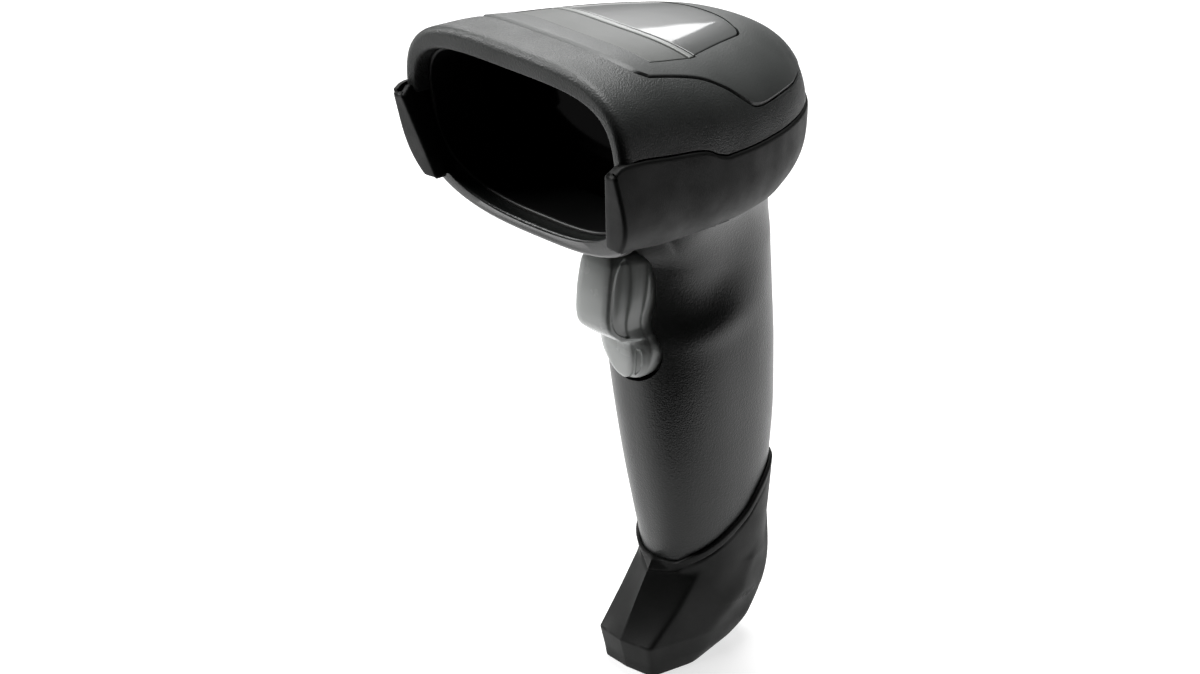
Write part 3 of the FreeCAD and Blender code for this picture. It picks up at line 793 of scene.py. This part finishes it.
trigger = {
    # height, half width, front face, half width of the front face, depth of the side face, back
    "z": [76.1, 76.4, 77.0, 78.2, 80.0, 82.0, 84.0, 86.0, 87.2, 88.2, 89.2, 90.6, 92.5, 95.5, 99.0, 103.0, 106.4,
          108.2],
    "half": [1.2, 2.6, 4.0, 5.6, 6.9, 7.6, 7.9, 7.6, 7.1, 6.8, 6.3, 5.9, 6.1, 6.9, 7.4, 7.6, 7.5, 6.8],
    "front": [42.0, 41.7, 41.3, 40.8, 40.2, 39.6, 39.0, 38.4, 37.6, 34.8, 33.4, 31.7, 30.6, 30.1, 30.1, 30.4, 30.9,
              31.6],
    "face": [0.5, 1.2, 2.0, 3.0, 3.8, 4.3, 4.5, 4.5, 4.6, 4.9, 4.9, 4.9, 4.9, 4.9, 4.9, 4.8, 4.6, 3.8],
    "side": [0.8, 1.0, 1.4, 1.8, 2.2, 2.5, 2.8, 3.2, 4.0, 6.5, 7.6, 8.8, 9.4, 9.6, 9.6, 9.4, 9.2, 8.8],
    "back": [52.0, 52.4, 52.8, 53.0, 53.2, 53.2, 53.2, 53.2, 52.6, 50.4, 48.6, 47.6, 47.4, 47.4, 47.2, 46.8, 46.2,
             45.6],
    # the oval thumbed into each side, and the smaller one in the tongue
    "ovalDeep": 0.32, "ovals": [(98.2, 9.6, 0.32, 0.27), (81.4, 3.6, 0.30, 0.2)],
    "lipZ": 86.0,      # where the tongue ends and the finger pad's lip begins
}


def triggerRow(z):
    half, front, face, side, back = (through(trigger["z"], trigger[key])(np.array(z))
                                     for key in ("half", "front", "face", "side", "back"))
    centre, span = 0.32, 0.0
    for middleZ, tall, shareMiddle, shareHalf in trigger["ovals"]:
        reach = abs(z - middleZ) / tall
        if reach < 1:
            centre, span = shareMiddle, shareHalf * (1 - reach**3) ** 0.5
    start, end = np.array([face + 0.15, front + 0.75]), np.array([half - 0.45, front + side])
    run = end - start
    sunk = np.array([run[1], -run[0]]) / np.linalg.norm(run) * trigger["ovalDeep"] * min(1, span * 12)
    right = [(0, front), (face * 0.6, front + 0.04), (face * 0.9, front + 0.22), (face + 0.06, front + 0.5), start,
             start + run * (centre - span), start + run * (centre - span * 0.82 + 0.01) - sunk,
             start + run * (centre + 0.001) - sunk, start + run * (centre + span * 0.8 + 0.01) - sunk,
             start + run * (centre + span + 0.03), start + run * 0.8, end, (half - 0.1, front + side + 0.35),
             (half, front + side + 1.0), (half, (front + side + back) / 2), (half, back - 0.6), (half - 0.6, back),
             (0, back)]
    right = np.array([tuple(point) for point in right], float)
    line = alongPath(np.column_stack([right, np.full(len(right), z)]), 110)
    return np.concatenate([line, line[1:-1][::-1] * mirrorX])


def scannerTrigger():
    foot, lip, top = trigger["z"][0], trigger["lipZ"], trigger["z"][-1]
    curl = 1 - np.cos(np.linspace(0, math.pi / 2, 36))
    heights = np.unique(np.concatenate([foot + (lip - foot) * curl, np.linspace(lip, 91, 26),
                                        np.linspace(91, 104, 22), np.linspace(104, top, 18)]))
    rows = [triggerRow(z) for z in heights]
    above, below = rows[-1], rows[0]
    middle = np.array([0, 39, top])
    for shrink, rise in ((0.96, 0.22), (0.88, 0.36), (0.6, 0.42), (0.0, 0.45)):
        rows.append(middle + (above - middle) * np.array([shrink, shrink, 1]) + np.array([0, 0, rise]))
    middle = np.array([0, 47, foot])
    for shrink in (0.6, 0.0):
        rows.insert(0, middle + (below - middle) * np.array([shrink, shrink, 1]) - np.array([0, 0, 0.1]))
    rows = np.array(rows)
    return makePiece("triggerPad", rows.reshape(-1, 3), gridFaces(len(rows), rows.shape[1], False, True),
                     made["polishedAbs"], "trigger", ["trigger"], 32)


def triggerPlug(grow):
    # the trigger's outline seen from the front, as a long plug that opens its pocket in the grip
    foot, lip, top = trigger["z"][0], trigger["lipZ"], trigger["z"][-1]
    curl = 1 - np.cos(np.linspace(0, math.pi / 2, 40))
    z = np.concatenate([foot + (lip - foot) * curl, np.linspace(lip, top, 50)[1:]])
    half = through(trigger["z"], trigger["half"])(z)
    outline = np.stack([half, z], axis=1)
    slope = unit(np.gradient(outline, axis=0))
    outline += np.stack([slope[:, 1], -slope[:, 0]], axis=1) * grow
    outline = np.concatenate([[(0.0, foot - grow - 0.15)], outline[outline[:, 0] > 0.4],
                              [(half[-1] - 1.5, top + 3.0)]])
    right = np.stack([outline[:, 0], np.full(len(outline), 20.0), outline[:, 1]], axis=1)
    ring = np.concatenate([right, right[1:][::-1] * mirrorX])
    far = ring + np.array([0, 34, 0])
    return makeCutter(np.concatenate([ring, far]), prismFaces(len(ring)))


# funnel and gasket behind the rim

funnel = {
    # round its section: depth behind the rim's face, pull to the middle
    "section": [(5.0, -0.6), (4.6, 0.5), (5.2, 0.75), (7.0, 1.0), (10, 1.7), (13, 2.5), (16.4, 3.5), (16.8, 3.2),
                (16.8, 2.0), (12, 0.6), (8, -0.3), (6.9, -0.7)],
    "beadDeep": 4.0, "beadHalf": 0.5, "beadIn": 0.55, "beadOut": 0.55,
}


def windowFunnel():
    angle = np.arange(240) / 240 * 2 * math.pi
    inner = rimInner(angle)
    inward = np.array([0, 45, rim["innerMiddleZ"]]) - inner
    inward[:, 1] = 0
    inward = unit(inward)
    rows = [inner + inward * pull + backward * deep for deep, pull in funnel["section"]]
    vertices, faces = loopSolid(rows)
    makePiece("windowFunnel", vertices, faces, made["mattFunnelAbs"], "scanner", ["window_bezel"])
    bead = []
    for turn in np.linspace(0, 2 * math.pi, 12, endpoint=False):
        pull = funnel["beadIn"] + funnel["beadOut"] * math.cos(turn)
        deep = funnel["beadDeep"] + funnel["beadHalf"] * math.sin(turn)
        bead.append(inner + inward * pull + backward * deep)
    vertices, faces = loopSolid(bead)
    makePiece("gasketBead", vertices, faces, made["gasketRubber"], "scanner",
              ["window_gasket"])


# rubber boot

boot = {
    "edgeY": [53, 56, 60, 65, 71.4, 76.7, 81, 86, 89],
    "edgeZ": [26.0, 26.3, 28.3, 30.4, 34.0, 37.8, 43.0, 47.2, 47.6],
    "sleeve": 0.95, "centreY": 66.0, "crispness": 34, "floorZ": 15.8, "sleeveFromZ": 14, "straightCorners": 3,
    "join": 40, "grooveDrop": 2.5, "grooveDeep": 0.3, "grooveHalf": 0.3,
    # the raised spine at the back and its ribs
    "spineHalf": 5.2, "spineProud": 0.55, "spineShare": 0.6, "ribZ": (20, 40), "ribProud": 0.16, "ribPitch": 2.2,
    "portBox": (-6.5, 6.5, 63.2, 73.5, -2, 17.5),
    # height: points of the faceted block from the toe's ridge round to the heel
    "block": {
        0.0: [(0, 48.1), (7.5, 48.9), (9.0, 61), (6.6, 71), (0, 72.5)],
        3.0: [(0, 47.2), (7.8, 48.3), (10.2, 63), (8.2, 75.5), (0, 78.5)],
        8.0: [(0, 45.5), (8.3, 46.9), (11.4, 64), (9.6, 80.0), (0, 83.6)],
        16.0: [(0, 49.6), (9.2, 54.6), (12.6, 73), (9.6, 84.5), (0, 87.6)],
        24.0: [(0, 53.8), (9.6, 60.8), (12.7, 76), (8.4, 86.6), (0, 88.4)],
        48.0: [(0, 66.5), (3.0, 76), (3.0, 84), (2.0, 88.0), (0, 88.4)],
    },
}


def bootRing(angle, z):
    # distance from the boot's axis to its faceted outline at each height, corners slightly softened
    heights = sorted(boot["block"])
    outlines = np.array([boot["block"][height] for height in heights], float)
    corners = []
    for k in range(outlines.shape[1]):
        straight = k < boot["straightCorners"]        # the toe's facets run straight, the heel is rounded
        corners.append(np.stack([np.interp(z, heights, outlines[:, k, axis]) if straight
                                 else through(heights, outlines[:, k, axis])(z) for axis in (0, 1)]))
    centre = np.array([[0], [boot["centreY"]]])
    toward = np.stack([np.abs(np.sin(angle)), -np.cos(angle)])
    total = np.zeros_like(angle)
    for a, b in zip(corners[:-1], corners[1:]):
        normal = np.stack([b[1] - a[1], a[0] - b[0]])
        normal /= np.linalg.norm(normal, axis=0)
        distance = np.sum(normal * (a - centre), axis=0)
        normal *= np.where(distance < 0, -1, 1)
        reach = np.maximum(np.abs(distance), 0.3)
        total += np.maximum(np.sum(toward * normal, axis=0) / reach, 0) ** boot["crispness"]
    return total ** (-1 / boot["crispness"])


def rubberBoot():
    count = 360
    angle = np.arange(count) / count * 2 * math.pi
    near, middle = gripRing(angle, 34.0, boot["sleeve"])
    edgeZ = through(boot["edgeY"], boot["edgeZ"])(middle - near * np.cos(angle))
    rows = []

    def ringAt(z, shrink=0.0):
        # the sleeve seen from the boot's own axis, joined to the faceted block
        atZ = np.maximum(z, grip["z"][0])
        centre = (gripFront(atZ) + gripBack(atZ)) / 2
        wide = gripHalf(atZ) + boot["sleeve"]
        deep = (gripBack(atZ) - gripFront(atZ)) / 2 + boot["sleeve"]
        shift = centre - boot["centreY"]
        n = grip["squareness"]
        c, s = -np.cos(angle), np.sin(angle)
        low, high = np.zeros(count), np.full(count, 40.0)
        for _ in range(26):
            mid = (low + high) / 2
            x, y = mid * s, boot["centreY"] + mid * c
            outside = (np.abs(x) / wide) ** n + (np.abs(y - boot["centreY"] - shift) / deep) ** n > 1
            high, low = np.where(outside, mid, high), np.where(outside, low, mid)
        block = np.maximum(bootRing(angle, z), 0.1)
        sleeve = np.maximum(np.where(z >= boot["sleeveFromZ"], high, 0), 0.1)
        size = (block ** boot["join"] + sleeve ** boot["join"]) ** (1 / boot["join"])
        groove = boot["grooveDeep"] * np.exp(-(((edgeZ - z) - boot["grooveDrop"]) / boot["grooveHalf"]) ** 2)
        across = np.abs(size * s)
        edgeFade = 1 + np.exp((across - boot["spineHalf"]) * 5)
        spine = np.where((c > 0) & (z < edgeZ - 3), boot["spineProud"] / edgeFade, 0)
        ribbed = (across < boot["spineHalf"]) & (c > 0) & (z > boot["ribZ"][0]) & (z < boot["ribZ"][1])
        ribs = np.where(ribbed, boot["ribProud"] * np.sin(z * 2 * math.pi / boot["ribPitch"]), 0)
        size = size - groove - shrink + spine * boot["spineShare"] + ribs
        return np.stack([size * s, boot["centreY"] + size * c, z], axis=1)

    inside, inMiddle = gripRing(angle, 20.0, 0.02)
    floor = np.stack([inside * np.sin(angle), inMiddle - inside * np.cos(angle),
                      np.full(count, boot["floorZ"])], axis=1)
    centre = np.array([0, 73.0, boot["floorZ"]])
    rows.append(np.repeat(centre[None], count, axis=0))
    rows.append(centre + (floor - centre) * np.array([0.5, 0.5, 1]))
    for share in np.linspace(0, 1, 14):
        z = boot["floorZ"] + (edgeZ - boot["floorZ"] - 0.15) * share
        size, mid = gripRing(angle, np.maximum(z, grip["z"][0]), 0.05)
        rows.append(np.stack([size * np.sin(angle), mid - size * np.cos(angle), z], axis=1))
    for drop, shrink in ((0.0, 0.8), (0.05, 0.4), (0.2, 0.12), (0.45, 0.0)):
        rows.append(ringAt(edgeZ - drop, shrink))
    for share in np.linspace(0, 1, 74)[1:]:
        z = (edgeZ - 0.45) * (1 - share) + 0.5 * share
        rows.append(ringAt(z))
    bottom = ringAt(np.full(count, 0.3), 0.1)
    bottom[:, 2] = 0.15
    rows.append(bottom)
    flat = ringAt(np.full(count, 0.3), 0.5)
    flat[:, 2] = 0.0
    rows.append(flat)
    foot = np.array([0, 60.0, 0])
    for shrink in (0.7, 0.35, 0.0):
        rows.append(foot + (flat - foot) * np.array([shrink, shrink, 1]))
    rows = np.array(rows)
    piece = makePiece("rubberBoot", rows.reshape(-1, 3), gridFaces(len(rows), count, False, True),
                      made["bootRubber"], "scanner", ["rubber_boot"], 30)
    cutAway(piece, boxCutter(*boot["portBox"]))
    return piece


hoodShell()
print("hood")
saddleCover()
for name, plate in plates.items():
    topPlate(name, plate)
print("saddle and plates")
headBumper()
print("bumper")
windowFunnel()
gripHousing()
print("grip")
scannerTrigger()
print("trigger")
rubberBoot()
print("boot")

# studio

studio = {
    "lensMm": 110.1, "place": (0.50507, -0.55288, 0.41417), "aim": (-0.62385, 0.66980, -0.40271),
    "rollDeg": 2.82,
    "world": 0.02, "floor": "#b4b4b4", "floorGlow": 0.72,
    # beside, in front of and behind the toe, along the camera's own direction
    "floorBox": (-0.9, 0.42, -0.055, 2.0),
    "lamps": [
        # name, place, aim, size, watts
        ("keySoftbox", (-0.85, -0.50, 0.75), (0, 0, 0.10), 0.5, 13),
        ("topSoftbox", (-0.15, 0.15, 1.05), (0, 0, 0.15), 0.6, 16),
        ("backSoftbox", (-0.90, 0.86, 0.70), (0, 0, 0.15), 0.5, 5),
    ],
}


def buildStudio():
    camera = bpy.data.objects.new("camera", bpy.data.cameras.new("camera"))
    camera.data.lens, camera.data.sensor_width = studio["lensMm"], 36
    forward = np.array(studio["aim"])
    right = np.cross(forward, [0, 0, 1])
    right /= np.linalg.norm(right)
    up = np.cross(right, forward)
    roll = math.radians(studio["rollDeg"])
    right, up = math.cos(roll) * right + math.sin(roll) * up, math.cos(roll) * up - math.sin(roll) * right
    columns = [right, up, -forward]
    rows = [[*(column[k] for column in columns), studio["place"][k]] for k in range(3)]
    camera.matrix_world = Matrix(rows + [[0, 0, 0, 1]])
    bpy.context.scene.collection.objects.link(camera)
    bpy.context.scene.camera = camera
    for name, place, aim, size, watts in studio["lamps"]:
        lamp = bpy.data.objects.new(name, bpy.data.lights.new(name, "AREA"))
        lamp.data.size, lamp.data.energy = size, watts
        lamp.location = place
        lamp.rotation_euler = (Vector(place) - Vector(aim)).to_track_quat("Z", "Y").to_euler()
        bpy.context.scene.collection.objects.link(lamp)
    world = bpy.data.worlds.new("studioWorld")
    bpy.context.scene.world = world
    world.use_nodes = True
    tree = world.node_tree
    path = addNode(tree, "ShaderNodeLightPath")
    power = addNode(tree, "ShaderNodeMapRange", {"To Min": studio["world"], "To Max": 1.0},
                    Value=path.outputs["Is Camera Ray"])
    tree.nodes["Background"].inputs["Color"].default_value = (1, 1, 1, 1)
    tree.links.new(power.outputs[0], tree.nodes["Background"].inputs["Strength"])
    floorMesh = bpy.data.meshes.new("studioFloor")
    left, right, front, back = studio["floorBox"]
    away = np.array(studio["aim"][:2]) / math.hypot(*studio["aim"][:2])
    beside = np.array([away[1], -away[0]])
    corners = [beside * x + away * y for x, y in ((left, front), (right, front), (right, back), (left, back))]
    floorMesh.from_pydata([(*corner.tolist(), 0) for corner in corners], [], [(0, 1, 2, 3)])
    floor = bpy.data.objects.new("studioFloor", floorMesh)
    paint = bpy.data.materials.new("mattPaint")
    paint.use_nodes = True
    shader = paint.node_tree.nodes["Principled BSDF"]
    shader.inputs["Base Color"].default_value = colour(studio["floor"])
    shader.inputs["Roughness"].default_value = 0.9
    shader.inputs["Emission Color"].default_value = (1, 1, 1, 1)
    shader.inputs["Emission Strength"].default_value = studio["floorGlow"]
    floorMesh.materials.append(paint)
    bpy.context.scene.collection.objects.link(floor)
    bpy.context.scene.view_settings.view_transform = "Standard"


buildStudio()
print("studio")
